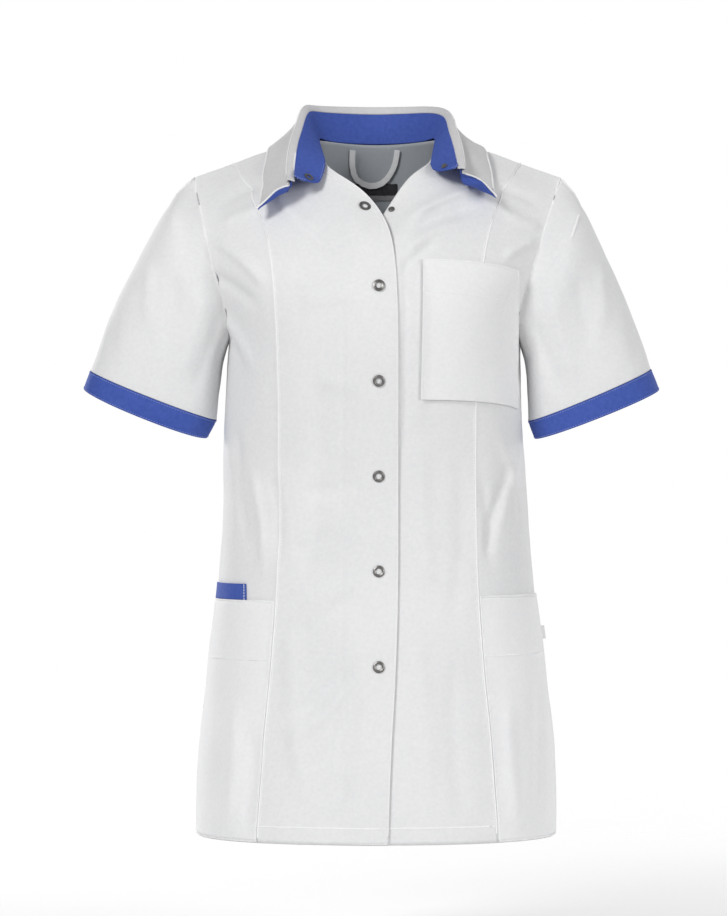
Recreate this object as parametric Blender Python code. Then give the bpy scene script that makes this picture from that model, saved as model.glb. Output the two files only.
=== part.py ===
"""White hospital tunic with blue trims, worn and hollow: open collar on a stand, snap front, short sleeves.

The wearer faces -Y and Z is up. The origin lies between the shoulders, at the height of the shoulder seams
beside the collar. Tables and sizes are in millimetres, and solid() turns them into metres.
"""
import math
from collections import namedtuple

import bpy
import numpy as np
from mathutils import Vector
from mathutils.bvhtree import BVHTree

MM = 0.001

# Cloth
CLOTH = 1.2
DOUBLE_CLOTH = 1.6
SEAM_GAP = 0.3
LAY_GAP = 0.4

# Cross-section of the body: a flattened oval whose side seam lies a little behind the middle
OVAL_POWER = 2.2
SIDE_SEAM_BACK = 5.0
HEM_Z = -722.0
UNDERARM_Z = -205.0

# Half widths on the wearer's right and left, and how far the centre front and centre back lie from the origin
Level = namedtuple("Level", "z right left front back")
BODY = (
    Level(-722, 190.5, 188.0, -136, 129),
    Level(-662, 189.0, 188.5, -133, 127),
    Level(-615, 185.5, 185.0, -130, 125),
    Level(-567, 180.0, 179.0, -126, 121),
    Level(-523, 175.5, 174.5, -122, 115),
    Level(-474, 169.5, 168.0, -117, 106),
    Level(-438, 166.0, 164.0, -113, 99),
    Level(-390, 163.5, 160.0, -110, 92),
    Level(-350, 162.5, 157.5, -112, 91),
    Level(-300, 162.5, 154.5, -119, 98),
    Level(-246, 159.5, 151.5, -128, 107),
    Level(-205, 157.0, 151.0, -132, 113),
    Level(-185, 160.0, 152.5, -132.5, 114),
    Level(-163, 168.5, 158.5, -131, 114),
    Level(-137, 184.0, 173.0, -127, 111),
    Level(-103, 200.0, 190.0, -118, 105),
    Level(-60, 209.0, 203.0, -106, 94),
    Level(-27, 212.0, 210.0, -101, 86),
    Level(0, 213.0, 212.0, -97, 80),
    Level(30, 214.0, 214.0, -92, 70),
)

# Shoulder: height of its crest by the distance from the centre, and the drop over which the body rounds up
Crest = namedtuple("Crest", "x z")
SHOULDER = (
    Crest(0, 14),
    Crest(62, 13),
    Crest(90, 7.5),
    Crest(121, 0),
    Crest(153, -12),
    Crest(195, -27),
    Crest(216, -36),
)
CREST_Y = 8.0
ROUNDING_DEPTH = 160.0
ROUNDING_POWER = 0.75
NECK_HALF_WIDTH = 62.5
NECK_END_Z = 12.9
NAPE_Y = 50.0
NAPE_Z = 11.8
NAPE_RISE = 1.1
THROAT_Y = -40.0

# Armhole at the front, from the shoulder tip down to where the sleeve hides it
Armhole = namedtuple("Armhole", "z right left")
ARMHOLE = (
    Armhole(-27, 194.5, 194.5),
    Armhole(-49, 189.0, 187.0),
    Armhole(-72, 183.0, 178.5),
    Armhole(-95, 178.5, 171.0),
    Armhole(-118, 173.0, 164.0),
    Armhole(-141, 167.5, 156.5),
    Armhole(-163, 160.0, 150.0),
)
UNDERARM_ROWS = 3
LOWER_ROWS = 13

# Princess seam: distance from the centre
Seam = namedtuple("Seam", "z x")
PRINCESS = (
    Seam(-722, 124),
    Seam(-703, 123),
    Seam(-638, 119),
    Seam(-546, 110),
    Seam(-477, 105),
    Seam(-390, 102),
    Seam(-295, 102),
    Seam(-177, 105),
    Seam(-118, 110),
    Seam(-84, 118),
    Seam(-60, 127),
    Seam(-32, 140),
    Seam(-12, 153),
)

# Free edge and neckline of each front, positive to the wearer's left, and how deep the edge curls in
Edge = namedtuple("Edge", "z x curl")
EDGE_RIGHT = (
    Edge(-722, 11, 0),
    Edge(-640, 13.5, 0),
    Edge(-540, 19, 0),
    Edge(-440, 21.5, 0),
    Edge(-200, 21.5, 0),
    Edge(-146, 20.5, 0),
    Edge(-109, 17.5, 0),
    Edge(-91, 14.5, 0),
    Edge(-81, 11.5, 2),
    Edge(-72, 5, 8),
    Edge(-51, -6.5, 19),
    Edge(-39, -22, 9),
    Edge(-28, -40, 2),
    Edge(-17, -54, 0),
    Edge(0, -58.5, 0),
    Edge(NECK_END_Z, -NECK_HALF_WIDTH, 0),
)
EDGE_LEFT = (
    Edge(-722, -21, 0),
    Edge(-200, -21, 0),
    Edge(-146, -20.5, 0),
    Edge(-109, -15, 7),
    Edge(-91, -6, 14),
    Edge(-72, 4.5, 18),
    Edge(-60, 13, 16.5),
    Edge(-50, 19.5, 13),
    Edge(-29, 34, 6),
    Edge(-21, 45, 1.5),
    Edge(-14, 56, 0),
    Edge(0, 59.5, 0),
    Edge(NECK_END_Z, NECK_HALF_WIDTH, 0),
)

# Heights at the edge of the rows above the underarm, closer together where the edge turns
EDGE_ROWS_RIGHT = (NECK_END_Z, -8, -18, -28, -41, -59, -84, -115, -155, UNDERARM_Z)
EDGE_ROWS_LEFT = (NECK_END_Z, -8, -16, -26, -40, -58, -82, -115, -155, UNDERARM_Z)
FRONT_COLUMNS = 9
CURL_WIDTH = 30.0
LAP = 3.0
LAP_START = -27.0
LAP_BLEND = 14.0

# Sleeve rings from under the shoulder to the cuff seam: outer and inner ends, depth before and behind, slant
Ring = namedtuple("Ring", "out_x out_z in_x in_z front back tilt")
SLEEVE_RIGHT = (
    Ring(221, -54, 162.0, -224, 63, 63, 0),
    Ring(245, -95, 164.5, -244, 60, 58, 1),
    Ring(266, -134, 166.5, -258, 57, 53, 2),
    Ring(285, -175, 167.5, -270, 54, 48, 3),
    Ring(297, -212, 168.0, -279, 51, 44, 4),
    Ring(304.5, -231, 168.5, -284, 49, 42, 4),
)
SLEEVE_LEFT = (
    Ring(217, -54, 156.0, -224, 63, 63, 0),
    Ring(234, -88, 158.0, -244, 60, 58, 1),
    Ring(251, -124, 158.5, -258, 57, 53, 2),
    Ring(270, -168, 159.0, -270, 54, 48, 3),
    Ring(285, -208, 159.0, -280, 51, 44, 4),
    Ring(291.5, -229, 159.0, -285, 49, 42, 4),
)
CUFF_RIGHT = (Ring(312.0, -250, 178.5, -303, 49, 41, 7),)
CUFF_LEFT = (Ring(300.5, -251, 166.0, -304, 49, 41, 5),)
SLEEVE_CENTRE_Y = -3.0
CUFF_EASE = 0.5

# Collar stations from the centre back to the front end: seam on the neck, roll line, middle of the fall, edge
Station = namedtuple(
    "Station",
    "neck_x neck_y neck_z roll_x roll_y roll_z mid_x mid_y mid_z edge_x edge_y edge_z",
)
CENTRE_BACK = Station(0, 61, 11.8, 0, 63, 44.5, 0, 75.2, 8, 0, 78.6, -24)
COLLAR_RIGHT = (
    Station(33, 46, 12.0, 36, 52, 44.5, 42, 62, 9, 46, 62, -23),
    Station(53, 26, 12.6, 62, 34, 44.5, 78, 39, 14, 86, 39.5, -16),
    Station(62, 8, 14.5, 74, 12, 43, 95, 13, 23, 113, 8, 7.0),
    Station(59, -20, 1.0, 79, -16, 23, 100, -20, 9, 117, -20, -8),
    Station(54, -44, -15.0, 84, -46, 2, 104, -50, -14, 121, -44, -32),
    Station(56, -58, -27.0, 86, -68, -20, 94, -73, -45, 122, -76, -56),
    Station(59, -67, -37.0, 86, -86, -31, 106, -91, -47, 125.5, -86, -65),
)
COLLAR_LEFT = (
    Station(33, 46, 12.0, 36, 52, 44.5, 42, 62, 9, 46, 62, -23),
    Station(53, 26, 12.6, 60, 34, 43.5, 76, 39, 11, 86, 39.5, -16),
    Station(62, 8, 14.5, 73, 12, 37, 92, 13, 19, 111, 8, 7.0),
    Station(60, -18, 2.0, 76, -16, 21, 98, -20, 6, 117, -20, -8),
    Station(57, -38, -12.0, 80, -42, 4, 102, -46, -12, 121, -40, -28),
    Station(56, -49, -18.5, 82, -58, -9, 91, -68, -37, 122, -67, -46),
    Station(58, -58, -23.5, 84, -77, -20, 109, -85, -36, 125, -77, -52),
)
STATION_STEPS = 2
STAND_ROWS = 6
STAND_SEAT = 0.6
STAND_END_BULGE = 7.0

# The fall's way over the top of the stand: rise above it and reach outward, then the cloth under the fall
ROLL = ((0.3, -1.6), (5.5, -1.2), (8.8, 1.4), (7.6, 5.0), (3.0, 7.0))
UNDER_CLOTH = 0.9
UNDER_GAP = 0.95
UNDER_INSET = 0.08
UNDER_START = 4

# Snaps
SNAP_X = 1.5
FIRST_SNAP_Z = -147.0
SNAP_PITCH = 98.1
SNAPS = 5
SNAP_RADIUS = 6.2
SNAP_HOLE = 3.1
SNAP_HEIGHT = 1.3
STAND_SNAP_RADIUS = 5.2
OPEN_RING = {"x": -13.0, "z": -63.0}
OPEN_STUD = {"x": 15.0, "z": -66.0}
STUD_RADIUS = 3.4
STUD_HEIGHT = 2.6
SEAT_HEIGHT = 12.0

# Pockets, all of one cloth that lies on the front
CHEST_POCKET = {
    "inner_top": 47.0,
    "inner_bottom": 44.0,
    "outer": 146.0,
    "top": -120.0,
    "bottom": -264.0,
    "drop": 9.0,
    "ease": 0.9,
}
POCKET_MOUTH_RIGHT = -472.5
POCKET_MOUTH_LEFT = -467.5
POCKET_HEM_GAP = 1.0
POCKET_BOW = 1.5
POCKET_SIDE_TURN = 89.2
TAB_WIDTH_END = 136.0
TAB_TOP = -455.5
TAB_SIDE_TURN = 88.5
TAB_EASE = 0.2

# Labels and the loop at the inside of the back neck
LABEL = {"left": -28.5, "right": 22.5, "top": -28.5, "bottom": -40.0}
STRIP = {"left": -28.0, "right": 22.0, "top": -40.5, "bottom": -45.5}
LABEL_THICK = 0.8
LABEL_OFF = 0.7
LOOP_PATH = ((-28, 7), (-28, -10), (-23, -23), (-8, -30), (6, -27), (15, -18), (21, -7), (24, 7))
LOOP_WIDTH = 6.0
LOOP_THICK = 1.0
LOOP_OFF = 2.2
SIDE_LABEL = {"top": -502.0, "bottom": -516.0, "off": 0.2, "behind": 1.0, "out": 5.0, "along": 9.0}

# Colours
WHITE = (0.82, 0.82, 0.84, 1)
BLUE = (0.05, 0.08, 0.42, 1)
STEEL = (0.32, 0.31, 0.30, 1)
DARK = (0.05, 0.05, 0.055, 1)
GREY = (0.30, 0.30, 0.31, 1)


def through(keys, values, at):
    """Smooth value at a key, by a cubic through the rows that never overshoots them."""
    if at <= keys[0]:
        return values[0]
    if at >= keys[-1]:
        return values[-1]
    steps = np.diff(keys)
    slopes = np.diff(values) / steps
    tangents = np.zeros(len(keys))
    for i in range(1, len(keys) - 1):
        if slopes[i - 1] * slopes[i] > 0:
            before = 2 * steps[i] + steps[i - 1]
            after = steps[i] + 2 * steps[i - 1]
            tangents[i] = (before + after) / (before / slopes[i - 1] + after / slopes[i])
    tangents[0] = slopes[0]
    tangents[-1] = slopes[-1]
    i = min(int(np.searchsorted(keys, at, side="right")) - 1, len(steps) - 1)
    t = (at - keys[i]) / steps[i]
    return (
        values[i] * (1 + 2 * t) * (1 - t) ** 2
        + values[i + 1] * t * t * (3 - 2 * t)
        + steps[i] * (tangents[i] * t * (1 - t) ** 2 - tangents[i + 1] * t * t * (1 - t))
    )


def column(table, name, at):
    """Value of a table's named column where its first column has this value."""
    rows = sorted(table, key=lambda row: row[0])
    keys = np.array([row[0] for row in rows], float)
    values = np.array([getattr(row, name) for row in rows], float)
    return through(keys, values, at)


def catmull(points, steps):
    """Points along a smooth curve through the given ones, with this many steps between two of them."""
    points = np.array(points, float)
    padded = np.vstack([2 * points[0] - points[1], points, 2 * points[-1] - points[-2]])
    found = []
    for i in range(1, len(padded) - 2):
        a, b, c, d = padded[i - 1:i + 3]
        for k in range(steps):
            t = k / steps
            square = 2 * a - 5 * b + 4 * c - d
            cube = 3 * b - a - 3 * c + d
            found.append(0.5 * (2 * b + (c - a) * t + square * t ** 2 + cube * t ** 3))
    found.append(points[-1])
    return np.array(found)


def unit(vector):
    return np.array(vector, float) / max(np.linalg.norm(vector), 1e-9)


def crest_z(x):
    return column(SHOULDER, "z", abs(x))


def half_width(side, z):
    return column(BODY, "right" if side < 0 else "left", z)


def ridge_y(x, front):
    """Depth of the shoulder's crest, which bends round the neck."""
    near_neck = max(0.0, 1 - (x / NECK_HALF_WIDTH) ** 2) ** 1.3
    return CREST_Y + near_neck * (THROAT_Y if front else NAPE_Y)


def body(side, turn, z):
    """Point on the outer surface. The turn runs from 0 at the centre front by 90 at the side to 180."""
    front = turn < 90
    across = abs(math.sin(math.radians(turn))) ** (2 / OVAL_POWER)
    along = abs(math.cos(math.radians(turn))) ** (2 / OVAL_POWER)
    reach_front = column(BODY, "front", z)
    reach_back = column(BODY, "back", z)
    middle = (reach_front + reach_back) / 2 + SIDE_SEAM_BACK
    x = half_width(side, z) * across
    y = middle + ((reach_front if front else reach_back) - middle) * along
    depth = min(max(crest_z(x) - z, 0.0), ROUNDING_DEPTH) / ROUNDING_DEPTH
    share = (1 - (1 - depth) ** 2) ** ROUNDING_POWER
    ridge = ridge_y(x, front)
    return np.array([side * x, ridge + (y - ridge) * share, z])


def turn_at(side, x, z, back=False):
    """Turn at which the surface lies this far from the centre."""
    across = min(abs(x) / half_width(side, z), 1.0) ** (OVAL_POWER / 2)
    turn = math.degrees(math.asin(across))
    return 180 - turn if back else turn


def front_point(x, z):
    side = -1 if x < 0 else 1
    return body(side, turn_at(side, x, z), z)


def back_point(x, z):
    side = -1 if x < 0 else 1
    return body(side, turn_at(side, x, z, back=True), z)


def body_normal(side, turn, z):
    """Outward normal of the garment's surface."""
    turn = min(max(turn, 0.6), 179.4)
    if abs(turn - 90) < 0.6:
        return np.array([side, 0.0, 0.0])
    across = body(side, turn + 0.5, z) - body(side, turn - 0.5, z)
    lower = min(z, crest_z(abs(body(side, turn, z)[0])) - 1.5)
    up = body(side, turn, lower + 1) - body(side, turn, lower - 1)
    normal = unit(np.cross(across, up))
    centre = np.array([0, 0, z - 60.0])
    return normal if normal @ (body(side, turn, z) - centre) > 0 else -normal


def crest_normal(side, x):
    slope = (crest_z(abs(x) + 2) - crest_z(max(abs(x) - 2, 0))) / 4
    return unit([-side * slope, 0, 1])


def grid_normals(points, around=False):
    """Normals of a grid of points, row by column: the mean of the faces round each point."""
    grid = np.concatenate([points, points[:, :1]], axis=1) if around else points
    faces = np.cross(grid[1:, 1:] - grid[:-1, :-1], grid[:-1, 1:] - grid[1:, :-1])
    faces /= np.maximum(np.linalg.norm(faces, axis=2, keepdims=True), 1e-9)
    normals = np.zeros_like(grid)
    normals[1:, 1:] += faces
    normals[1:, :-1] += faces
    normals[:-1, 1:] += faces
    normals[:-1, :-1] += faces
    if around:
        normals[:, 0] += normals[:, -1]
        normals = normals[:, :-1]
    return normals / np.maximum(np.linalg.norm(normals, axis=2, keepdims=True), 1e-9)


def material(name, colour, rough, metal=0.0):
    made = bpy.data.materials.get(name)
    if made is None:
        made = bpy.data.materials.new(name)
        made.use_nodes = True
        shader = made.node_tree.nodes["Principled BSDF"]
        shader.inputs["Base Color"].default_value = colour
        shader.inputs["Roughness"].default_value = rough
        shader.inputs["Metallic"].default_value = metal
    return made


def white_cloth():
    return material("white_cloth", WHITE, 0.85)


def blue_cloth():
    return material("blue_cloth", BLUE, 0.8)


def snap_metal():
    return material("snap_metal", STEEL, 0.35, 1.0)


def label_dark():
    return material("label_dark", DARK, 0.7)


def label_grey():
    return material("label_grey", GREY, 0.8)


def solid(name, points, faces, finish):
    """One closed object from points in millimetres, its faces turned outward."""
    mesh = bpy.data.meshes.new(name)
    mesh.from_pydata([tuple(float(v) * MM for v in p) for p in points], [], faces)
    mesh.validate()
    made = bpy.data.objects.new(name, mesh)
    bpy.context.scene.collection.objects.link(made)
    mesh.materials.append(finish)
    volume = 0.0
    for polygon in mesh.polygons:
        corners = [np.array(mesh.vertices[i].co) for i in polygon.vertices]
        for k in range(1, len(corners) - 1):
            volume += np.dot(corners[0], np.cross(corners[k], corners[k + 1]))
    if volume < 0:
        mesh.flip_normals()
    mesh.shade_smooth()
    mesh.set_sharp_from_angle(angle=math.radians(40))
    return made


def wall(name, outer, inner, finish, around=False):
    """Closed wall between two grids of points, row by column. A wall that goes around is a tube."""
    rows, columns = outer.shape[:2]
    points = np.vstack([outer.reshape(-1, 3), inner.reshape(-1, 3)])
    count = rows * columns

    def at(row, place, layer):
        return layer * count + row * columns + place % columns

    faces = []
    last = columns if around else columns - 1
    for r in range(rows - 1):
        for c in range(last):
            faces.append((at(r, c, 0), at(r + 1, c, 0), at(r + 1, c + 1, 0), at(r, c + 1, 0)))
            faces.append((at(r, c, 1), at(r, c + 1, 1), at(r + 1, c + 1, 1), at(r + 1, c, 1)))
    for c in range(last):
        faces.append((at(0, c, 0), at(0, c + 1, 0), at(0, c + 1, 1), at(0, c, 1)))
        faces.append((at(rows - 1, c, 0), at(rows - 1, c, 1), at(rows - 1, c + 1, 1), at(rows - 1, c + 1, 0)))
    if not around:
        for r in range(rows - 1):
            faces.append((at(r, 0, 0), at(r, 0, 1), at(r + 1, 0, 1), at(r + 1, 0, 0)))
            faces.append((at(r, last, 0), at(r + 1, last, 0), at(r + 1, last, 1), at(r, last, 1)))
    return solid(name, points, faces, finish)


def armhole(side, back=False):
    """Rows of the armhole from the shoulder tip to the underarm, each a turn and a height."""
    rows = []
    for row in ARMHOLE:
        x = row.right if side < 0 else row.left
        rows.append((turn_at(side, x, row.z), row.z))
    last_turn, last_z = rows[-1]
    for k in range(1, UNDERARM_ROWS + 1):
        q = math.radians(90 * k / UNDERARM_ROWS)
        turn = last_turn + (90 - last_turn) * (1 - math.cos(q))
        rows.append((turn, last_z - (last_z - UNDERARM_Z) * math.sin(q)))
    if back:
        rows = [(180 - turn, z) for turn, z in rows]
    return rows


UPPER_ROWS = len(ARMHOLE) - 1 + UNDERARM_ROWS


def lower_heights():
    return [UNDERARM_Z + (HEM_Z - UNDERARM_Z) * k / LOWER_ROWS for k in range(1, LOWER_ROWS + 1)]


def princess_point(side, z, shift):
    """Point on the princess seam, moved outward along the surface by a shift."""
    x = column(PRINCESS, "x", z) + shift
    turn = turn_at(side, x, z)
    return body(side, turn, z), turn


def princess_heights():
    top = PRINCESS[-1].z
    return [top + (UNDERARM_Z - top) * k / UPPER_ROWS for k in range(UPPER_ROWS + 1)] + lower_heights()


def side_front(side, name):
    """Panel from the princess seam to the armhole and the side seam."""
    columns = 8
    outer_rows = armhole(side) + [(90.0, z) for z in lower_heights()]
    outer = []
    inner = []
    for r, (inner_z, (out_turn, out_z)) in enumerate(zip(princess_heights(), outer_rows)):
        start_turn = princess_point(side, inner_z, SEAM_GAP / 2)[1]
        line = []
        back_line = []
        for c in range(columns + 1):
            share = c / columns
            z = inner_z + (out_z - inner_z) * share
            if r == 0:
                x = abs(body(side, start_turn, inner_z)[0])
                x += (ARMHOLE[0].right - x) * share
                turn = turn_at(side, x, crest_z(x))
                z = crest_z(x)
            else:
                turn = start_turn + (out_turn - start_turn) * share
            point = body(side, turn, z)
            if r == 0:
                normal = crest_normal(side, point[0])
                point[1] -= SEAM_GAP / 2
            else:
                normal = body_normal(side, turn, z)
            if c == columns and r >= UPPER_ROWS:
                point[1] -= SEAM_GAP / 2
            line.append(point)
            back_line.append(point - CLOTH * normal)
        outer.append(line)
        inner.append(back_line)
    return wall(name, np.array(outer), np.array(inner), white_cloth())


def back_panel():
    """The back in one piece, from side seam to side seam."""
    neck_columns = 6
    shoulder_columns = 6
    half = neck_columns + shoulder_columns
    outer = []
    inner = []
    for r in range(UPPER_ROWS + 1 + LOWER_ROWS):
        line = []
        back_line = []
        for c in range(-half, half + 1):
            side = -1 if c < 0 else 1
            k = abs(c)
            rows = armhole(side, back=True) + [(90.0, z) for z in lower_heights()]
            out_turn, out_z = rows[r]
            tip_turn, tip_z = rows[0]
            neck_turn = turn_at(side, NECK_HALF_WIDTH, NECK_END_Z, back=True)
            neck_share = (180 - neck_turn) / (180 - tip_turn)
            if k <= neck_columns:
                share = neck_share * k / neck_columns
            else:
                share = neck_share + (1 - neck_share) * (k - neck_columns) / shoulder_columns
            turn = 180 - share * (180 - out_turn)
            if r <= UPPER_ROWS:
                sine = math.sin(math.radians(share * (180 - tip_turn)))
                top_x = min(half_width(side, 0) * sine ** (2 / OVAL_POWER), ARMHOLE[0].right)
                top_z = crest_z(top_x)
                if k < neck_columns:
                    top_z = NAPE_Z + NAPE_RISE * (k / neck_columns) ** 2
                even = r / UPPER_ROWS
                uneven = (out_z - tip_z) / (UNDERARM_Z - tip_z)
                down = even + (uneven - even) * share
                z = top_z + (UNDERARM_Z - top_z) * down
                if r == 0:
                    turn = turn_at(side, top_x, z, back=True)
            else:
                z = out_z
            point = body(side, turn, z)
            if r == 0 and k >= neck_columns:
                normal = crest_normal(side, point[0])
                point[1] += SEAM_GAP / 2
            else:
                normal = body_normal(side, turn, z)
            if k == half and r >= UPPER_ROWS:
                point[1] += SEAM_GAP / 2
            line.append(point)
            back_line.append(point - CLOTH * normal)
        outer.append(line)
        inner.append(back_line)
    return wall("back", np.array(outer), np.array(inner), white_cloth())


def smoothstep(t):
    t = min(max(t, 0.0), 1.0)
    return t * t * (3 - 2 * t)


def front_surface(side, x, z, edge_z):
    """Front's outer surface with the curl of its free edge, and the lap of the right front over the left."""
    table = EDGE_RIGHT if side < 0 else EDGE_LEFT
    point = front_point(x, z)
    from_edge = abs(x - column(table, "x", edge_z))
    curl = column(table, "curl", edge_z) * smoothstep(1 - from_edge / CURL_WIDTH) ** 1.5
    point[1] += curl
    if side < 0:
        point[1] -= LAP * smoothstep((x - LAP_START) / LAP_BLEND + 1)
    return point


def front_panel(side, name):
    """Centre front, from its free edge and neckline to the shoulder and the princess seam."""
    edge = EDGE_RIGHT if side < 0 else EDGE_LEFT
    edge_rows = EDGE_ROWS_RIGHT if side < 0 else EDGE_ROWS_LEFT
    outer = []
    for r, seam_z in enumerate(princess_heights()):
        edge_z = edge_rows[r] if r <= UPPER_ROWS else seam_z
        edge_x = column(edge, "x", edge_z)
        seam_x = side * (column(PRINCESS, "x", seam_z) - SEAM_GAP / 2)
        line = []
        for c in range(FRONT_COLUMNS + 1):
            x = edge_x + (seam_x - edge_x) * c / FRONT_COLUMNS
            z = edge_z + (seam_z - edge_z) * c / FRONT_COLUMNS
            if r == 0:
                point = front_point(x, crest_z(x))
                point[1] -= SEAM_GAP / 2
            else:
                point = front_surface(side, x, z, edge_z)
            line.append(point)
        outer.append(line)
    outer = np.array(outer)
    normals = grid_normals(outer)
    if normals[UPPER_ROWS, 1][1] > 0:
        normals = -normals
    for r in range(outer.shape[0]):
        for from_seam in range(2):
            c = FRONT_COLUMNS - from_seam
            x, z = outer[r, c, 0], outer[r, c, 2]
            share = 1 - from_seam / 2
            smooth = body_normal(side, turn_at(side, x, z), z)
            normals[r, c] = unit(normals[r, c] * (1 - share) + smooth * share)
    for c in range(FRONT_COLUMNS + 1):
        normals[0, c] = crest_normal(side, outer[0, c, 0])
    return wall(name, outer, outer - CLOTH * normals, white_cloth())


def armhole_loop(side):
    """Points around the armhole, and the directions from the panels' edges into the open armhole."""
    front = armhole(side)
    back = armhole(side, back=True)
    rows = front + back[-2:0:-1]
    points = np.array([body(side, turn, z) for turn, z in rows])
    normals = np.array([body_normal(side, turn, z) for turn, z in rows])
    normals[0] = crest_normal(side, points[0][0])
    tangents = np.roll(points, -1, axis=0) - np.roll(points, 1, axis=0)
    centre = points.mean(axis=0)
    away = []
    for point, normal, tangent in zip(points, normals, tangents):
        direction = unit(np.cross(tangent, normal))
        away.append(direction if direction @ (centre - point) > 0 else -direction)
    return points, np.array(away)


def sleeve_angles(side):
    """Angle round the sleeve of each armhole point, from its share of the way along the armhole."""
    points = armhole_loop(side)[0]
    half = UPPER_ROWS
    lengths = np.linalg.norm(np.diff(points[:half + 1], axis=0), axis=1)
    shares = np.concatenate([[0], np.cumsum(lengths)]) / lengths.sum()
    angles = [math.pi * share for share in shares]
    return angles + [2 * math.pi - angle for angle in angles[-2:0:-1]]


def sleeve_ring(side, ring, angles):
    """Points round one ring of the sleeve."""
    out = np.array([side * ring.out_x, SLEEVE_CENTRE_Y, ring.out_z])
    into = np.array([side * ring.in_x, SLEEVE_CENTRE_Y, ring.in_z])
    centre = (out + into) / 2
    half = (out - into) / 2
    points = []
    for angle in angles:
        c, s = math.cos(angle), math.sin(angle)
        point = centre + half * math.copysign(abs(c) ** 0.92, c)
        point[1] -= (ring.front if s > 0 else ring.back) * math.copysign(abs(s) ** 0.92, s)
        point[2] -= ring.tilt * s
        points.append(point)
    return points


def ring_outward(ring):
    """Unit vectors from the middle of a ring to its points, in the ring's plane."""
    out = ring - ring.mean(axis=0)
    return out / np.linalg.norm(out, axis=1, keepdims=True)


def sleeve(side, rings, name):
    """Sleeve from the armhole to the cuff seam, a tube sewn into the armhole."""
    start, away = armhole_loop(side)
    angles = sleeve_angles(side)
    outer = [start + away * (SEAM_GAP + 0.1)]
    for ring in rings:
        outer.append(np.array(sleeve_ring(side, ring, angles)))
    flat = catmull([points.reshape(-1) for points in outer], 2)
    outer = flat.reshape(len(flat), -1, 3)
    normals = grid_normals(outer, around=True)
    centre = outer[3].mean(axis=0)
    if normals[3, 0] @ (outer[3, 0] - centre) < 0:
        normals = -normals
    inner = outer - CLOTH * normals
    inner[-1] = outer[-1] - CLOTH * ring_outward(outer[-1])
    return wall(name, outer, inner, white_cloth(), around=True)


def cuff(side, rings, end, name):
    """Blue band on the sleeve's end, a little wider than the sleeve."""
    angles = sleeve_angles(side)
    seam = np.array(sleeve_ring(side, rings[-1], angles))
    edge = np.array(sleeve_ring(side, end, angles))
    along = edge - seam
    along /= np.linalg.norm(along, axis=1, keepdims=True)
    out = ring_outward(seam)
    seam = seam + along * (SEAM_GAP + 0.2) + out * CUFF_EASE
    edge = edge + out * CUFF_EASE
    outer = np.array([seam, (seam + edge) / 2 + out * 0.4, edge])
    inner = outer - DOUBLE_CLOTH * out
    return wall(name, outer, inner, blue_cloth(), around=True)


def collar_stations():
    """Smooth stations from the wearer's right front end round the back to the left, each with four points."""
    def rows(table, side):
        return [np.array(row, float).reshape(4, 3) * [side, 1, 1] for row in table]

    controls = rows(COLLAR_RIGHT, -1)[::-1] + rows([CENTRE_BACK], 1) + rows(COLLAR_LEFT, 1)
    flat = catmull([control.reshape(12) for control in controls], STATION_STEPS)
    return flat.reshape(-1, 4, 3)


def station_frames(stations):
    """Unit vectors up the stand and outward from the neck at each station."""
    up = np.array([unit(s[1] - s[0]) for s in stations])
    along = np.gradient(stations[:, 1], axis=0)
    out = np.array([unit(np.cross(u, a)) for a, u in zip(along, up)])
    middle = len(stations) // 2
    return up, out if out[middle][1] > 0 else -out


def collar():
    """Stand, fall and under collar."""
    stations = collar_stations()
    up, out = station_frames(stations)
    neck = stations[:, 0] + up * STAND_SEAT
    roll = stations[:, 1]
    outer = np.array([neck + (roll - neck) * k / STAND_ROWS for k in range(STAND_ROWS + 1)])
    ends = ((0, stations[0, 1] - stations[1, 1]), (-1, stations[-1, 1] - stations[-2, 1]))
    for end, direction in ends:
        for k in range(STAND_ROWS + 1):
            bulge = math.sqrt(1 - abs(2 * k / STAND_ROWS - 1) ** 2.5)
            outer[k, end] += unit(direction) * STAND_END_BULGE * bulge
    inner = outer - DOUBLE_CLOTH * out[None, :, :]
    stand = wall("collar_stand", outer, inner, blue_cloth())

    fall = []
    for s, u, o in zip(stations, up, out):
        start = [s[1] + u * rise + o * reach for rise, reach in ROLL]
        line = np.vstack([start[3:], s[2], s[3]])
        fine = catmull(line, 2)
        fall.append(np.vstack([start[:3], fine]))
    fall = np.array(fall).transpose(1, 0, 2)
    normals = grid_normals(fall)
    middle = fall.shape[1] // 2
    if normals[-2, middle][1] < 0:
        normals = -normals
    wall("collar_leaf", fall, fall - CLOTH * normals, white_cloth())

    normals = normals[UNDER_START:]
    under = fall[UNDER_START:] - (CLOTH + UNDER_GAP) * normals
    under[-1] += (under[-2] - under[-1]) * UNDER_INSET
    wall("under_collar", under, under - UNDER_CLOTH * normals, blue_cloth())
    return stand, stations, out


def ring(name, centre, normal, radius, hole, height, finish, around=16):
    """Ring with a rounded top, lying on a surface whose normal is given. A hole of 0 makes a round stud."""
    normal = unit(normal)
    side = unit(np.cross(normal, [0, 0, 1]))
    up = np.cross(side, normal)
    middle = (radius + hole) / 2
    profile = [(hole, 0), (radius, 0), (radius, height * 0.6), (middle, height), (hole, height * 0.6)]
    points = []
    for k in range(around):
        angle = 2 * math.pi * k / around
        direction = side * math.cos(angle) + up * math.sin(angle)
        for reach, rise in profile:
            points.append(centre + direction * reach + normal * rise)
    count = len(profile)
    faces = []
    for k in range(around):
        following = (k + 1) % around
        for p in range(count):
            q = (p + 1) % count
            faces.append((k * count + p, k * count + q, following * count + q, following * count + p))
    return solid(name, points, faces, finish)


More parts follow.
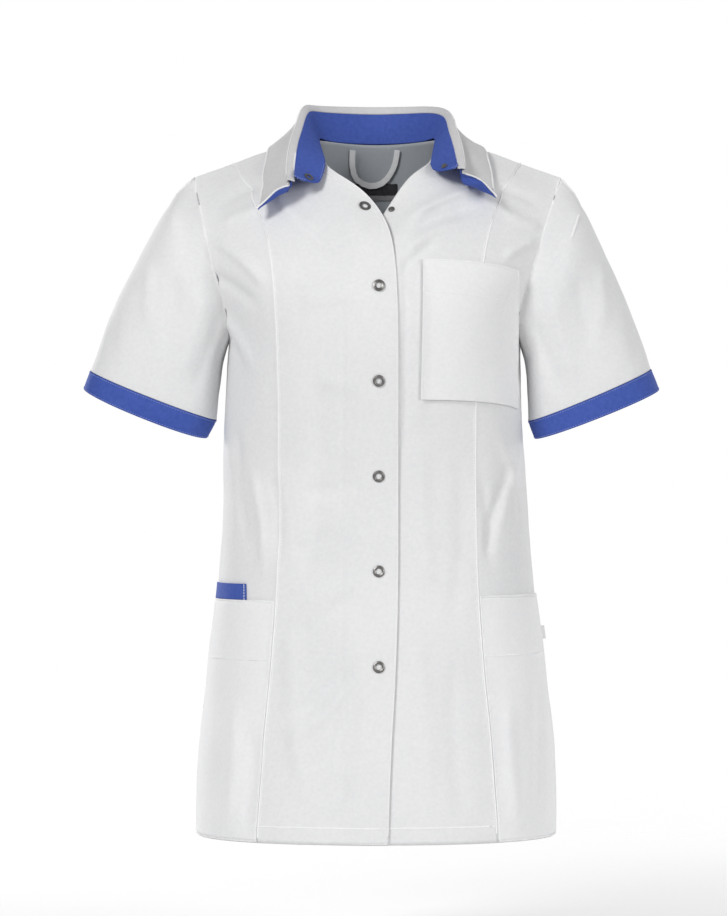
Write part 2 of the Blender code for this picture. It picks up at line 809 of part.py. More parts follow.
def stud(name, centre, normal, radius, height, finish, around=12):
    """Round foot with a narrower post on it, lying on a surface whose normal is given."""
    normal = unit(normal)
    side = unit(np.cross(normal, [0, 0, 1]))
    up = np.cross(side, normal)
    post = radius * 0.55
    profile = [(radius, 0), (radius, height * 0.35), (post, height * 0.5), (post, height * 0.9)]
    points = []
    for k in range(around):
        angle = 2 * math.pi * k / around
        direction = side * math.cos(angle) + up * math.sin(angle)
        for reach, rise in profile:
            points.append(centre + direction * reach + normal * rise)
    count = len(profile)
    foot = tuple(k * count for k in reversed(range(around)))
    top = tuple(k * count + count - 1 for k in range(around))
    faces = [foot, top]
    for k in range(around):
        following = (k + 1) % around
        for p in range(count - 1):
            faces.append((k * count + p, following * count + p, following * count + p + 1, k * count + p + 1))
    return solid(name, points, faces, finish)


def touched(tree, place, normal, radius, around=16):
    """Points where a circle above a surface comes down on it."""
    side = normal.cross(Vector((0, 0, 1))).normalized()
    up = side.cross(normal)
    found = []
    for k in range(around):
        angle = 2 * math.pi * k / around
        above = place + (side * math.cos(angle) + up * math.sin(angle)) * radius + normal * SEAT_HEIGHT
        hit = tree.ray_cast(above, -normal)[0]
        if hit is not None:
            found.append(hit)
    return found


def seat(carrier, start, direction, radius):
    """Centre and normal of a round piece that lies on a carrier, met from a start in a direction."""
    points = [vertex.co / MM for vertex in carrier.data.vertices]
    carrier.data.calc_loop_triangles()
    triangles = [tuple(triangle.vertices) for triangle in carrier.data.loop_triangles]
    tree = BVHTree.FromPolygons(points, triangles, all_triangles=True)
    direction = Vector(direction).normalized()
    place, normal = tree.ray_cast(Vector(start), direction)[:2]
    for repeat in range(3):
        rim = touched(tree, place, normal, radius)
        fitted = Vector()
        for before, after in zip(rim, rim[1:]):
            fitted += (before - place).cross(after - place)
        fitted.normalize()
        normal = fitted if fitted.dot(normal) > 0 else -fitted
    met = []
    for share in (0.3, 0.6, 0.8, 1.0):
        met += touched(tree, place, normal, radius * share)
    lift = max([0.0] + [(point - place).dot(normal) for point in met])
    return np.array(place + normal * (lift + SEAM_GAP)), np.array(normal)


def snaps(front_right, front_left):
    """Rings of the closed snaps on the right front, and their backs inside the left front."""
    for k in range(SNAPS):
        z = FIRST_SNAP_Z - SNAP_PITCH * k
        place, normal = seat(front_right, (SNAP_X, -300, z), (0, 1, 0), SNAP_RADIUS)
        ring(f"snap_ring_{k + 1}", place, normal, SNAP_RADIUS, SNAP_HOLE, SNAP_HEIGHT, snap_metal())
        place, normal = seat(front_left, (SNAP_X, 0, z), (0, -1, 0), SNAP_RADIUS)
        name = f"snap_back_{k + 1}"
        ring(name, place, normal, SNAP_RADIUS, SNAP_HOLE, SNAP_HEIGHT, snap_metal(), around=12)


def open_snaps(front_right, front_left, stand, stations, out):
    """The open top snap and the open snap of the stand."""
    place, normal = seat(front_right, (OPEN_RING["x"], -300, OPEN_RING["z"]), (0, 1, 0), SNAP_RADIUS)
    ring("neck_snap_ring", place, normal, SNAP_RADIUS, SNAP_HOLE, SNAP_HEIGHT, snap_metal())
    place, normal = seat(front_left, (OPEN_STUD["x"], -300, OPEN_STUD["z"]), (0, 1, 0), STUD_RADIUS)
    stud("neck_snap_stud", place, normal, STUD_RADIUS, STUD_HEIGHT, snap_metal())
    for end in (0, -1):
        middle = (stations[end, 0] + stations[end, 1]) / 2
        if end == 0:
            place, normal = seat(stand, middle - out[end] * 20, out[end], STAND_SNAP_RADIUS)
            hole = STAND_SNAP_RADIUS / 2
            ring("stand_snap_ring", place, normal, STAND_SNAP_RADIUS, hole, SNAP_HEIGHT, snap_metal())
        else:
            place, normal = seat(stand, middle - out[end] * 20, out[end], STUD_RADIUS)
            stud("stand_snap_stud", place, normal, STUD_RADIUS, STUD_HEIGHT, snap_metal())


def patch(name, rows, finish):
    """Cloth lying on the body, from rows of side, turn, height and an extra distance off the surface."""
    outer = []
    inner = []
    for row in rows:
        line = []
        back_line = []
        for side, turn, z, extra in row:
            point = body(side, turn, z)
            normal = body_normal(side, turn, z)
            back_line.append(point + normal * (LAY_GAP + extra))
            line.append(point + normal * (LAY_GAP + extra + CLOTH))
        outer.append(line)
        inner.append(back_line)
    return wall(name, np.array(outer), np.array(inner), finish)


def chest_pocket():
    """Patch pocket on the left breast, its mouth dropping a little towards the armhole."""
    size = CHEST_POCKET
    rows = []
    down_steps, across_steps = 8, 8
    for r in range(down_steps + 1):
        down = r / down_steps
        row = []
        inner_x = size["inner_top"] + (size["inner_bottom"] - size["inner_top"]) * down
        for c in range(across_steps + 1):
            across = c / across_steps
            z = size["top"] + (size["bottom"] - size["top"]) * down - size["drop"] * across ** 2
            start = turn_at(1, inner_x, z)
            end = turn_at(1, size["outer"], z)
            row.append((1, start + (end - start) * across, z, size["ease"]))
        rows.append(row)
    patch("chest_pocket", rows, white_cloth())


def lower_pocket(side, mouth, name):
    """Pocket from the princess seam to the side seam and down to the hem, its mouth bowed a little."""
    rows = []
    down_steps, across_steps = 7, 8
    bottom = HEM_Z + POCKET_HEM_GAP
    for r in range(down_steps + 1):
        down = r / down_steps
        z = mouth + (bottom - mouth) * down
        start = princess_point(side, z, 1.0)[1]
        row = []
        for c in range(across_steps + 1):
            across = c / across_steps
            bow = POCKET_BOW * math.sin(math.pi * across) * (1 - down) ** 2
            row.append((side, start + (POCKET_SIDE_TURN - start) * across, z, bow))
        rows.append(row)
    patch(name, rows, white_cloth())


def pocket_tab():
    """Blue tab above the mouth of the right pocket, at the side seam."""
    bottom = POCKET_MOUTH_RIGHT + SEAM_GAP
    rows = []
    for r in range(3):
        z = TAB_TOP + (bottom - TAB_TOP) * r / 2
        start = turn_at(-1, TAB_WIDTH_END, z)
        rows.append([(-1, start + (TAB_SIDE_TURN - start) * c / 8, z, TAB_EASE) for c in range(9)])
    patch("pocket_tab", rows, blue_cloth())


def inside_patch(name, box, finish):
    """Flat label on the inside of the back."""
    rows_outer = []
    rows_inner = []
    for z in (box["top"], (box["top"] + box["bottom"]) / 2, box["bottom"]):
        line = []
        back_line = []
        for k in range(6):
            x = box["left"] + (box["right"] - box["left"]) * k / 5
            point = back_point(x, z)
            side = -1 if x < 0 else 1
            normal = body_normal(side, turn_at(side, x, z, back=True), z)
            line.append(point - normal * (CLOTH + LABEL_OFF))
            back_line.append(point - normal * (CLOTH + LABEL_OFF + LABEL_THICK))
        rows_outer.append(line)
        rows_inner.append(back_line)
    wall(name, np.array(rows_outer), np.array(rows_inner), finish)


def hanger_loop():
    """Narrow tape that hangs in a curve inside the back neck."""
    path = catmull(LOOP_PATH, 2)
    rows = [[], [], [], []]
    for k, (x, z) in enumerate(path):
        before = path[max(k - 1, 0)]
        after = path[min(k + 1, len(path) - 1)]
        direction = unit([after[0] - before[0], after[1] - before[1]])
        across = np.array([-direction[1], direction[0]]) * LOOP_WIDTH / 2
        for n, (shift, off) in enumerate(((1, 0), (1, 1), (-1, 1), (-1, 0))):
            px, pz = x + across[0] * shift, z + across[1] * shift
            side = -1 if px < 0 else 1
            point = back_point(px, pz)
            normal = body_normal(side, turn_at(side, px, pz, back=True), pz)
            rows[n].append(point - normal * (CLOTH + LOOP_OFF + LOOP_THICK * off))
    outer = np.array([rows[1], rows[2]])
    inner = np.array([rows[0], rows[3]])
    wall("hanger_loop", outer, inner, white_cloth())


def side_label():
    """Small folded label that stands out at the left side seam."""
    size = SIDE_LABEL
    outer = []
    inner = []
    for z in (size["top"], size["bottom"]):
        base = body(1, 90, z) + [size["off"], size["behind"], 0]
        tip = base + [size["out"], size["along"], 0]
        flat = unit(np.cross(tip - base, [0, 0, 1]))
        outer.append([base, tip])
        inner.append([base + flat * LABEL_THICK, tip + flat * LABEL_THICK])
    wall("side_label", np.array(outer), np.array(inner), white_cloth())


def main():
    for old in list(bpy.data.objects):
        bpy.data.objects.remove(old, do_unlink=True)
    front_right = front_panel(-1, "front_right")
    front_left = front_panel(1, "front_left")
    side_front(-1, "side_front_right")
    side_front(1, "side_front_left")
    back_panel()
    sleeve(-1, SLEEVE_RIGHT, "sleeve_right")
    sleeve(1, SLEEVE_LEFT, "sleeve_left")
    cuff(-1, SLEEVE_RIGHT, CUFF_RIGHT[0], "cuff_right")
    cuff(1, SLEEVE_LEFT, CUFF_LEFT[0], "cuff_left")
    stand, stations, out = collar()
    snaps(front_right, front_left)
    open_snaps(front_right, front_left, stand, stations, out)
    chest_pocket()
    lower_pocket(-1, POCKET_MOUTH_RIGHT, "pocket_right")
    lower_pocket(1, POCKET_MOUTH_LEFT, "pocket_left")
    pocket_tab()
    inside_patch("neck_label", LABEL, label_dark())
    inside_patch("size_label", STRIP, label_grey())
    hanger_loop()
    side_label()


main()
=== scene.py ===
import math
from collections import namedtuple

import bmesh
import bpy
import numpy as np
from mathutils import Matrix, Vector, noise
from mathutils.bvhtree import BVHTree


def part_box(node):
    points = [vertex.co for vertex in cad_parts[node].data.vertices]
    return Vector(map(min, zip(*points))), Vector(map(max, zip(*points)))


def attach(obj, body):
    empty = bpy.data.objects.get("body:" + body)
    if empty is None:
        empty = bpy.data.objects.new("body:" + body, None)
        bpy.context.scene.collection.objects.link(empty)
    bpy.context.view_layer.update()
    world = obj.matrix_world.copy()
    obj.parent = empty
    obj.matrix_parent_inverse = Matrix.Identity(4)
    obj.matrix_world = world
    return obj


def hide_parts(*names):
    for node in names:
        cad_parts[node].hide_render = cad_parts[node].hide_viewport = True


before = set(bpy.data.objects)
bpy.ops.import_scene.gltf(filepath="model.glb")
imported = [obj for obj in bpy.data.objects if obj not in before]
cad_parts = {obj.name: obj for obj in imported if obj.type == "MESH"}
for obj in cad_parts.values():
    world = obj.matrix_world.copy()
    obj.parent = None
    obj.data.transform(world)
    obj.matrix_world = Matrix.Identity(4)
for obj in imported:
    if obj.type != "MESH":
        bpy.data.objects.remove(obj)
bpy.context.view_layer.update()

MM = 0.001

# The photograph's frame: millimetres per pixel at the tunic's middle, and the pixels of its centre and origin
PHOTO_WIDTH = 727
PHOTO_CENTRE = (363.5, 458.0)
ORIGIN_PIXEL = (377.0, 152.0)
MM_PER_PIXEL = 1.06
CAMERA_DISTANCE = 4.2
SENSOR = 36.0

# Body as an oval, for the direction in which the cloth is pushed out or in
HALF_WIDTH = 0.175
HALF_DEPTH = 0.118
MIDDLE_Y = -0.008
FRONT_FADE = 0.03

# Soft folds of the body's cloth: both ends, width, height (below zero a trough) and sideways bow
Fold = namedtuple("Fold", "x0 z0 x1 z1 width height bow")
FRONT_FOLDS = (
    Fold(24, -80, 118, -36, 9, 1.8, 5),
    Fold(30, -94, 112, -62, 10, -1.5, 4),
    Fold(22, -118, 92, -72, 10, 1.3, 6),
    Fold(20, -140, 66, -100, 9, -1.0, 3),
    Fold(-110, -40, -60, -92, 10, 1.2, -4),
    Fold(-92, -60, -40, -118, 9, -1.0, -4),
    Fold(-176, -92, -112, -150, 9, 1.3, 5),
    Fold(-182, -128, -120, -172, 9, -1.2, 4),
    Fold(-168, -168, -128, -238, 8, 1.2, 5),
    Fold(170, -96, 128, -118, 8, 1.1, -3),
    Fold(160, -150, 150, -250, 8, -1.2, 4),
    Fold(-160, -296, -146, -404, 9, 0.9, 6),
    Fold(-146, -282, -134, -418, 8, -1.1, -5),
    Fold(-134, -324, -118, -452, 8, 0.9, 5),
    Fold(-110, -330, -104, -440, 9, -0.6, 4),
    Fold(158, -300, 128, -408, 10, 0.9, -6),
    Fold(146, -318, 112, -436, 8, -1.2, -5),
    Fold(126, -296, 152, -420, 7, 0.9, 6),
    Fold(104, -330, 118, -446, 9, -0.7, 4),
    Fold(30, -92, 29, -340, 9, -1.1, 1),
    Fold(44, -110, 42, -300, 9, 0.6, 3),
    Fold(-36, -148, -36, -420, 4, -0.22, 0),
    Fold(-36, -380, -38, -700, 4, -0.22, 0),
    Fold(-168, -42, -118, -16, 8, 1.4, 3),
    Fold(-172, -60, -112, -36, 8, -1.3, 3),
    Fold(-168, -80, -116, -62, 8, 1.0, 2),
    Fold(176, -40, 122, -18, 8, 1.4, -3),
    Fold(178, -60, 122, -40, 8, -1.3, -3),
    Fold(176, -84, 130, -66, 8, 1.0, 2),
    Fold(-16, -150, -84, -164, 12, 0.5, 4),
    Fold(-14, -250, -70, -238, 12, 0.45, 3),
    Fold(-14, -346, -82, -362, 12, -0.5, 4),
    Fold(-14, -446, -84, -474, 12, 0.6, 5),
    Fold(-14, -456, -100, -516, 12, -0.7, 5),
    Fold(-20, -528, -104, -602, 10, -0.9, 5),
    Fold(-20, -546, -100, -624, 11, 0.9, 6),
    Fold(-16, -570, -74, -650, 12, -0.6, 6),
    Fold(-18, -200, -30, -360, 14, 0.5, 8),
    Fold(-64, -210, -78, -480, 16, -0.6, 9),
    Fold(-88, -470, -70, -700, 15, 0.7, -8),
    Fold(-30, -520, -44, -716, 14, -0.6, 6),
    Fold(46, -292, 60, -480, 14, 0.7, -7),
    Fold(84, -300, 76, -520, 14, -0.6, 7),
    Fold(34, -480, 52, -712, 15, 0.6, 7),
    Fold(80, -520, 92, -718, 14, -0.7, -6),
    Fold(-150, -560, -160, -720, 12, 0.8, 6),
    Fold(-128, -600, -140, -722, 10, -0.7, 4),
    Fold(136, -560, 150, -720, 11, 0.8, -5),
    Fold(168, -540, 166, -716, 9, -0.9, 4),
    Fold(36, -396, 96, -432, 9, 0.6, 3),
    Fold(-40, -396, -96, -424, 9, -0.6, 3),
)
BACK_FOLDS = (
    Fold(-120, -52, -40, -110, 12, 1.3, 6),
    Fold(126, -56, 50, -120, 12, 1.2, -5),
    Fold(-168, -110, -96, -170, 10, -1.3, 5),
    Fold(164, -104, 104, -176, 10, -1.2, -6),
    Fold(-160, -170, -120, -262, 9, 1.4, 6),
    Fold(156, -166, 118, -250, 9, 1.3, -5),
    Fold(-60, -90, -48, -330, 18, 0.8, 9),
    Fold(44, -100, 60, -350, 18, -0.8, -8),
    Fold(-4, -180, 6, -420, 17, 0.7, 6),
    Fold(-158, -296, -112, -352, 9, 1.4, 6),
    Fold(-156, -330, -96, -396, 9, -1.4, 7),
    Fold(-150, -372, -104, -424, 9, 1.2, 5),
    Fold(154, -300, 100, -346, 9, 1.3, -6),
    Fold(152, -340, 108, -404, 10, -1.3, -6),
    Fold(148, -384, 96, -428, 9, 1.1, -4),
    Fold(-92, -420, -110, -716, 16, 1.0, 8),
    Fold(-50, -440, -56, -712, 15, -0.9, 6),
    Fold(-8, -452, 4, -716, 16, 0.8, -7),
    Fold(46, -436, 62, -714, 15, -0.9, 7),
    Fold(96, -430, 112, -718, 16, 1.0, -6),
    Fold(140, -470, 152, -712, 13, -0.8, 5),
    Fold(-142, -480, -152, -714, 13, 0.9, -5),
)

# Soft folds of a sleeve: angle round it in degrees from its top towards the front, and ends as
# shares of its length
SleeveFold = namedtuple("SleeveFold", "angle0 share0 angle1 share1 width height")
SLEEVE_FOLDS = (
    SleeveFold(30, 0.05, 62, 0.62, 9, 1.2),
    SleeveFold(64, 0.08, 84, 0.72, 9, -1.3),
    SleeveFold(96, 0.12, 112, 0.86, 8, 1.5),
    SleeveFold(122, 0.20, 132, 0.92, 8, -1.4),
    SleeveFold(12, 0.45, 34, 0.95, 11, -0.8),
    SleeveFold(-28, 0.08, -58, 0.60, 10, 1.2),
    SleeveFold(-66, 0.10, -88, 0.80, 9, -1.3),
    SleeveFold(-104, 0.15, -120, 0.90, 8, 1.3),
    SleeveFold(-10, 0.50, -36, 0.96, 11, 0.8),
)

# How strongly the folds show: share of their stated heights and widths
FOLD_GAIN = 3.2
FOLD_SPREAD = 0.66
SLEEVE_GAIN = 1.6

# Cloth unevenness: height and spread of the long and the short waves
LONG_WAVE = (1.0, 62.0)
SHORT_WAVE = (0.30, 17.0)
HEM_WAVE = {"height": 0.5, "spread": 13.0, "rise": 26.0}
HEM_Z = -722.0

# Painted shade on the back's inner wall near the neck: the cloth's colour is darkened there
INSIDE_LOW = -150.0
INSIDE_FADE = 60.0
INSIDE_PAINTED_SHADE = (0.50, 0.53, 0.56)

# Front ends of the collar's roll: where each lies, how far it is drawn down and how far that reaches
CollarEnd = namedtuple("CollarEnd", "point drop reach")
COLLAR_ENDS = (
    CollarEnd((-86.0, -86.0, -32.0), 7.0, 13.0),
    CollarEnd((83.0, -82.0, -22.0), 4.5, 12.0),
)
ROLL_END_CLEAR = 12.0

# Neckline, where the cloth is held by the collar and stays as the solid has it
NECK_RADIUS = 80.0
NECK_FADE = 25.0
NECK_LOW = -50.0

# Clear space round each snap, where the cloth stays as the solid has it
SNAP_CLEAR = 8.0
SNAP_FADE = 12.0

# Edges sharper than this are the rims of a shell's wall
RIM_ANGLE = math.radians(40)

# Making a shell: points closer than this are one, and edges sharper than this stay sharp
MERGE_DISTANCE = 0.00001
JOIN_ANGLE = math.radians(60)
JOIN_SHAPE = math.radians(70)
CREASE_ANGLE = math.radians(42)
SHADE_ANGLE = math.radians(50)

# Share of a fold over which its height comes up from nothing, on the body and on a sleeve
FOLD_END = 0.3
SLEEVE_FOLD_END = 0.2
SLEEVE_SEWN = 0.15

# Middle line of a sleeve on the positive side, in metres, and the way that is up on it
SLEEVE_TOP = (0.178, -0.003, -0.125)
SLEEVE_LOW = (0.236, -0.003, -0.262)
SLEEVE_UP = (0.92, 0.0, 0.39)

# A face belongs to the outer wall when it faces outward more than this
OUTER_WALL = 0.3

# Line of the hem's sewing, and how far from it a place still belongs to it
HEM_LINE = -703.0
HEM_BAND = 9.0
HEM_BAND_BACK = 12.0
SEWN_BELOW = -698.0
SEWN_BELOW_BACK = -694.0

# Thread
STITCH_PITCH = 3.0
STITCH_LENGTH = 2.2
STITCH_HALF_WIDTH = 0.36
STITCH_RISE = 0.26
STITCH_SEARCH = 12.0

# Studio: floor height and where it starts and ends to fade, light of the white surround, and the lamps
FLOOR_Z = -0.86
FLOOR_SOLID = 0.35
FLOOR_END = 2.4
AIR_LIGHT = 0.33
FLOOR_GLOW = 0.06
Lamp = namedtuple("Lamp", "name x y z size power")
LAMPS = (
    Lamp("key", -1.7, -2.4, 1.5, 0.9, 58),
    Lamp("fill", 2.2, -2.2, 0.3, 1.2, 33),
    Lamp("back_key", -1.9, 2.6, 0.3, 0.7, 54),
    Lamp("back_fill", 2.2, 2.2, 0.3, 1.2, 28),
)
LAMP_TARGET = (0.0, 0.0, -0.35)

def smooth(t):
    t = np.clip(t, 0.0, 1.0)
    return t * t * (3 - 2 * t)


def deselect():
    bpy.ops.object.select_all(action="DESELECT")


def take(node, levels):
    """Cloth shell on a solid's form: its faces joined, its edges kept sharp and its surface made smooth."""
    deselect()
    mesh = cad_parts[node].data.copy()
    piece = bpy.data.objects.new("cloth_" + node, mesh)
    bpy.context.scene.collection.objects.link(piece)
    bpy.context.view_layer.objects.active = piece
    piece.select_set(True)
    bpy.ops.object.mode_set(mode="EDIT")
    bpy.ops.mesh.select_all(action="SELECT")
    bpy.ops.mesh.remove_doubles(threshold=MERGE_DISTANCE)
    bpy.ops.mesh.tris_convert_to_quads(face_threshold=JOIN_ANGLE, shape_threshold=JOIN_SHAPE)
    bpy.ops.object.mode_set(mode="OBJECT")
    shape = bmesh.new()
    shape.from_mesh(mesh)
    crease = shape.edges.layers.float.get("crease_edge") or shape.edges.layers.float.new("crease_edge")
    for edge in shape.edges:
        if len(edge.link_faces) == 2 and edge.calc_face_angle() > CREASE_ANGLE:
            edge[crease] = 1.0
    shape.to_mesh(mesh)
    shape.free()
    modifier = piece.modifiers.new("smooth", "SUBSURF")
    modifier.levels = levels
    modifier.render_levels = levels
    bpy.ops.object.modifier_apply(modifier=modifier.name)
    return piece


def read_points(piece):
    flat = np.empty(len(piece.data.vertices) * 3)
    piece.data.vertices.foreach_get("co", flat)
    return flat.reshape(-1, 3)


def write_points(piece, points):
    piece.data.vertices.foreach_set("co", points.reshape(-1))
    piece.data.update()


def unevenness(points, wave, seed):
    height, spread = wave
    shift = Vector((seed, 2.7 * seed, -1.3 * seed))
    return np.array([height * noise.noise(Vector(p) / (spread * MM) + shift) for p in points])


def fold_height(x, z, folds):
    total = np.zeros(len(x))
    for fold in folds:
        run_x = fold.x1 - fold.x0
        run_z = fold.z1 - fold.z0
        length = math.hypot(run_x, run_z)
        along = ((x - fold.x0) * run_x + (z - fold.z0) * run_z) / length ** 2
        across = ((x - fold.x0) * run_z - (z - fold.z0) * run_x) / length
        across = across + fold.bow * np.sin(math.pi * np.clip(along, 0, 1))
        ends = smooth(along / FOLD_END) * smooth((1 - along) / FOLD_END)
        total += FOLD_GAIN * fold.height * ends * np.exp(-(across / (FOLD_SPREAD * fold.width)) ** 2)
    return total


def snap_centres():
    names = [f"snap_ring_{k}" for k in range(1, 6)] + ["neck_snap_ring", "neck_snap_stud"]
    centres = []
    for name in names:
        low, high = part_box(name)
        centres.append((np.array(low) + np.array(high)) / 2)
    return centres


SNAP_CENTRES = snap_centres()


def drape_body(points):
    """Where the folds and the cloth's unevenness move points of the body's pieces."""
    out = np.stack([
        points[:, 0] / HALF_WIDTH ** 2,
        (points[:, 1] - MIDDLE_Y) / HALF_DEPTH ** 2,
        np.zeros(len(points)),
    ], axis=1)
    out /= np.maximum(np.linalg.norm(out, axis=1, keepdims=True), 1e-9)
    x, z = points[:, 0] / MM, points[:, 2] / MM
    front = smooth((MIDDLE_Y - points[:, 1]) / FRONT_FADE)
    back = smooth((points[:, 1] - MIDDLE_Y) / FRONT_FADE)
    height = front * fold_height(x, z, FRONT_FOLDS) + back * fold_height(x, z, BACK_FOLDS)
    height += unevenness(points, LONG_WAVE, 3.0) + unevenness(points, SHORT_WAVE, 8.0)
    near_hem = smooth(1 - (z - HEM_Z) / HEM_WAVE["rise"])
    height += near_hem * unevenness(points, (HEM_WAVE["height"], HEM_WAVE["spread"]), 5.0)
    from_neck_axis = np.hypot(points[:, 0], points[:, 1]) / MM
    near_neck = (1 - smooth((from_neck_axis - NECK_RADIUS) / NECK_FADE)) * smooth((z - NECK_LOW) / NECK_FADE)
    clear = 1 - near_neck
    for centre in SNAP_CENTRES:
        distance = np.linalg.norm((points - centre)[:, [0, 2]], axis=1) / MM
        near = (points[:, 1] < 0)
        clear = np.where(near, clear * smooth((distance - SNAP_CLEAR) / SNAP_FADE), clear)
    return points + out * (height * clear * MM)[:, None]


def drape_collar(points):
    """The collar's cloth, with the roll's front ends drawn down to meet the leaf's front edges."""
    moved = drape_body(points)
    for end in COLLAR_ENDS:
        away = np.linalg.norm(points / MM - np.array(end.point), axis=1)
        moved[:, 2] -= end.drop * np.exp(-(away / end.reach) ** 2) * MM
    return moved


def sleeve_axis(node):
    """Top and end of a sleeve's middle line."""
    low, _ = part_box(node)
    side = 1 if low.x > 0 else -1
    mirror = np.array([side, 1.0, 1.0])
    return side, mirror * SLEEVE_TOP, mirror * SLEEVE_LOW


def drape_sleeve(side, top, end):
    """A function that moves the points of one sleeve by its folds and unevenness."""
    axis = end - top
    length = np.linalg.norm(axis)
    axis = axis / length
    upward = np.array([side, 1.0, 1.0]) * SLEEVE_UP
    upward -= axis * (upward @ axis)
    upward /= np.linalg.norm(upward)
    forward = np.array([0.0, -1.0, 0.0])

    def move(points):
        offset = points - top
        along = offset @ axis / length
        around = offset - np.outer(offset @ axis, axis)
        radius = np.maximum(np.linalg.norm(around, axis=1), 1e-9)
        out = around / radius[:, None]
        angle = np.degrees(np.arctan2(out @ forward, out @ upward))
        height = unevenness(points, LONG_WAVE, 11.0) + unevenness(points, SHORT_WAVE, 14.0)
        arc = np.radians(angle) * radius / MM
        for fold in SLEEVE_FOLDS:
            share = np.clip((along - fold.share0) / (fold.share1 - fold.share0), 0, 1)
            line = np.radians(fold.angle0 + (fold.angle1 - fold.angle0) * share) * radius / MM
            ends = smooth((along - fold.share0) / SLEEVE_FOLD_END)
            ends = ends * smooth((fold.share1 - along) / SLEEVE_FOLD_END)
            height += SLEEVE_GAIN * fold.height * ends * np.exp(-((arc - line) / fold.width) ** 2)
        sewn = smooth(along / SLEEVE_SEWN)
        return points + out * (height * sewn * MM)[:, None]

    return move


def shader_nodes(name):
    made = bpy.data.materials.new(name)
    made.use_nodes = True
    return made, made.node_tree.nodes, made.node_tree.links, made.node_tree.nodes["Principled BSDF"]


def socket(group, name, direction, kind, value=None):
    made = group.interface.new_socket(name=name, in_out=direction, socket_type=kind)
    if value is not None:
        made.default_value = value
    return made


def twill_group():
    """Diagonal ribs of the twill and the unevenness of its yarns, as a height and a shade from 0 to 1."""
    group = bpy.data.node_groups.new("twill", "ShaderNodeTree")
    socket(group, "Ribs per metre", "INPUT", "NodeSocketFloat", 1100.0)
    socket(group, "Slub scale", "INPUT", "NodeSocketFloat", 260.0)
    socket(group, "Height", "OUTPUT", "NodeSocketFloat")
    socket(group, "Shade", "OUTPUT", "NodeSocketFloat")
    nodes, links = group.nodes, group.links
    given = nodes.new("NodeGroupInput")
    result = nodes.new("NodeGroupOutput")
    place = nodes.new("ShaderNodeTexCoord")
    split = nodes.new("ShaderNodeSeparateXYZ")
    links.new(place.outputs["Object"], split.inputs[0])
    across = nodes.new("ShaderNodeMath")
    across.operation = "ADD"
    links.new(split.outputs["X"], across.inputs[0])
    links.new(split.outputs["Y"], across.inputs[1])
    diagonal = nodes.new("ShaderNodeMath")
    diagonal.operation = "ADD"
    links.new(across.outputs[0], diagonal.inputs[0])
    links.new(split.outputs["Z"], diagonal.inputs[1])
    turns = nodes.new("ShaderNodeMath")
    turns.operation = "MULTIPLY"
    links.new(diagonal.outputs[0], turns.inputs[0])
    links.new(given.outputs["Ribs per metre"], turns.inputs[1])
    angle = nodes.new("ShaderNodeMath")
    angle.operation = "MULTIPLY"
    angle.inputs[1].default_value = 2 * math.pi
    links.new(turns.outputs[0], angle.inputs[0])
    rib = nodes.new("ShaderNodeMath")
    rib.operation = "SINE"
    links.new(angle.outputs[0], rib.inputs[0])
    slub = nodes.new("ShaderNodeTexNoise")
    slub.inputs["Detail"].default_value = 4.0
    links.new(place.outputs["Object"], slub.inputs["Vector"])
    links.new(given.outputs["Slub scale"], slub.inputs["Scale"])
    scaled = nodes.new("ShaderNodeMath")
    scaled.operation = "MULTIPLY_ADD"
    scaled.inputs[1].default_value = 0.22
    links.new(rib.outputs[0], scaled.inputs[0])
    links.new(slub.outputs["Fac"], scaled.inputs[2])
    links.new(scaled.outputs[0], result.inputs["Height"])
    links.new(slub.outputs["Fac"], result.inputs["Shade"])
    return group


TWILL = twill_group()


def cloth(name, deep, light, sheen, bump, ribs):
    """Twill of one dye: its shade wanders a little between two near colours, and where the inside mask is set
    its colour is multiplied by the painted shade.
    """
    made, nodes, links, shader = shader_nodes(name)
    weave = nodes.new("ShaderNodeGroup")
    weave.node_tree = TWILL
    weave.inputs["Ribs per metre"].default_value = ribs
    place = nodes.new("ShaderNodeTexCoord")
    wander = nodes.new("ShaderNodeTexNoise")
    wander.inputs["Scale"].default_value = 9.0
    wander.inputs["Detail"].default_value = 3.0
    links.new(place.outputs["Object"], wander.inputs["Vector"])
    blend = nodes.new("ShaderNodeMath")
    blend.operation = "MULTIPLY_ADD"
    blend.inputs[1].default_value = 0.5
    links.new(weave.outputs["Shade"], blend.inputs[0])
    half = nodes.new("ShaderNodeMath")
    half.operation = "MULTIPLY"
    half.inputs[1].default_value = 0.5
    links.new(wander.outputs["Fac"], half.inputs[0])
    links.new(half.outputs[0], blend.inputs[2])
    tone = nodes.new("ShaderNodeValToRGB")
    tone.color_ramp.elements[0].position = 0.32
    tone.color_ramp.elements[0].color = (*deep, 1)
    tone.color_ramp.elements[1].position = 0.68
    tone.color_ramp.elements[1].color = (*light, 1)
    links.new(blend.outputs[0], tone.inputs["Fac"])
    # Painted shade: the inside mask darkens the colour on the back's inner wall near the neck.
    inside = nodes.new("ShaderNodeAttribute")
    inside.attribute_name = "inside"
    painted_shade_colour = nodes.new("ShaderNodeMix")
    painted_shade_colour.data_type = "RGBA"
    painted_shade_colour.blend_type = "MULTIPLY"
    painted_shade_colour.inputs[7].default_value = (*INSIDE_PAINTED_SHADE, 1)
    links.new(inside.outputs["Fac"], painted_shade_colour.inputs[0])
    links.new(tone.outputs["Color"], painted_shade_colour.inputs[6])
    links.new(painted_shade_colour.outputs[2], shader.inputs["Base Color"])
    raised = nodes.new("ShaderNodeBump")
    raised.inputs["Strength"].default_value = bump
    raised.inputs["Distance"].default_value = 0.0004
    links.new(weave.outputs["Height"], raised.inputs["Height"])
    links.new(raised.outputs["Normal"], shader.inputs["Normal"])
    shader.inputs["Roughness"].default_value = 0.86
    shader.inputs["Sheen Weight"].default_value = sheen
    shader.inputs["Sheen Roughness"].default_value = 0.5
    shader.inputs["Specular IOR Level"].default_value = 0.25
    return made


